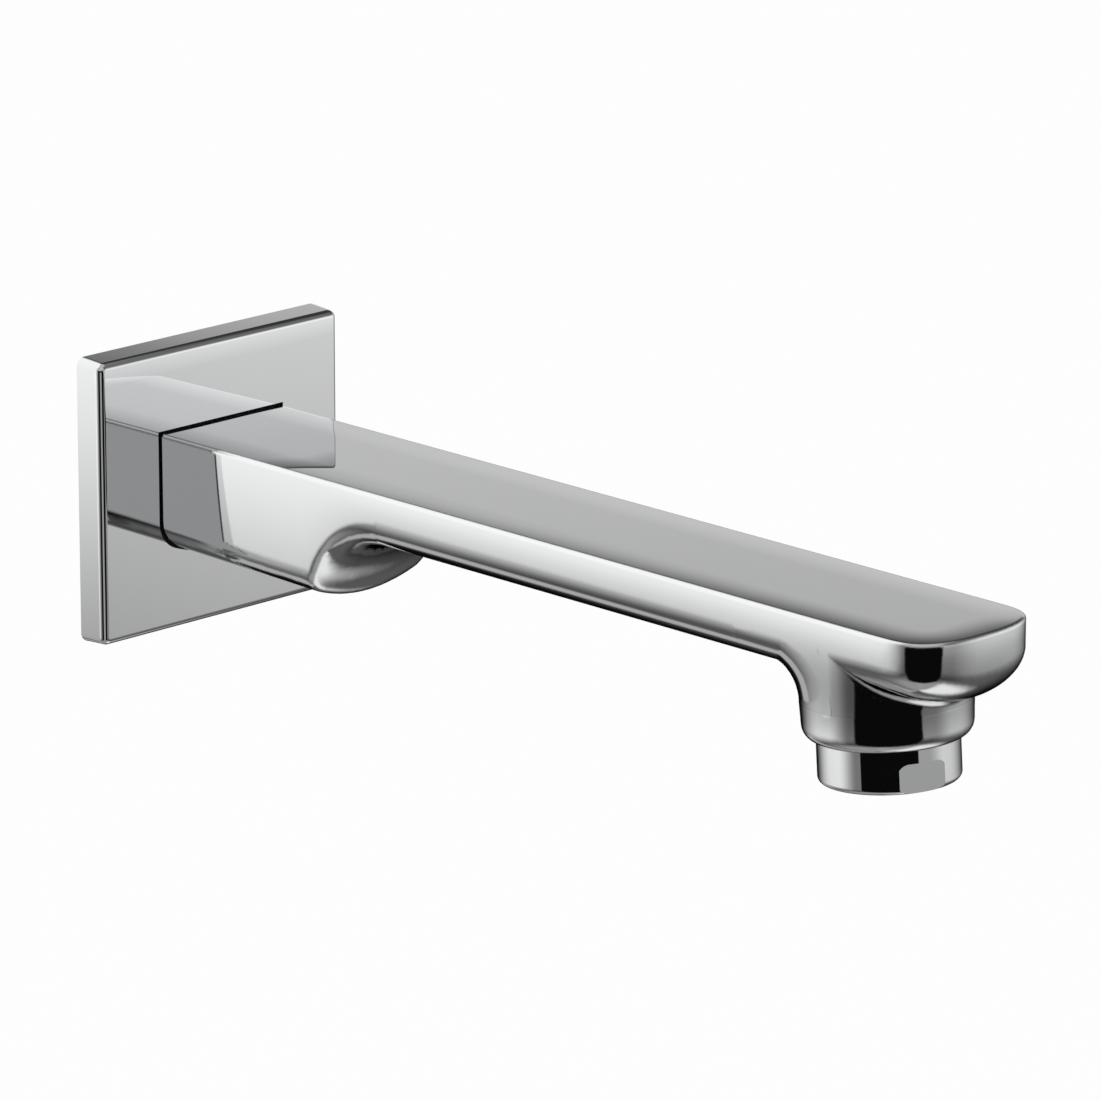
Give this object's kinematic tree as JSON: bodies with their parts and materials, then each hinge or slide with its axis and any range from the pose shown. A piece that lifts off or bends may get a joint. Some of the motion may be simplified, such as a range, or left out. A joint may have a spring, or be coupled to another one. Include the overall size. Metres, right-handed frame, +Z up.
{
  "type": "wall spout",
  "caption": "Chromed wall spout with a square wall plate, a flat-topped arm scooped out below and a round outlet boss with a screwed-in aerator.",
  "frame": {"origin": "centre of the tapped inlet's mouth, in the plane of the wall", "axes": "+Y along the inlet into the wall, so the spout points along -Y; +Z up; +X to the right of someone facing the wall"},
  "size_m": [0.0664, 0.2218, 0.0603],
  "materials": {
    "body_chrome": "polished chrome plate on cast brass",
    "plate_chrome": "polished chrome plate on pressed brass",
    "ring_chrome": "polished chrome plate on turned brass",
    "seal_rubber": "matte black rubber",
    "insert_plastic": "moulded pale grey plastic",
    "screen_steel": "woven stainless wire"
  },
  "bodies": {
    "root": {"spout_body": "body_chrome", "wall_flange": "plate_chrome", "flange_seal": "seal_rubber", "aerator_housing": "ring_chrome", "aerator_washer": "seal_rubber", "aerator_filter": "insert_plastic", "aerator_diffuser": "insert_plastic", "aerator_cage": "insert_plastic", "aerator_screen_upper": "screen_steel", "aerator_screen_lower": "screen_steel"}
  },
  "joints": []
}
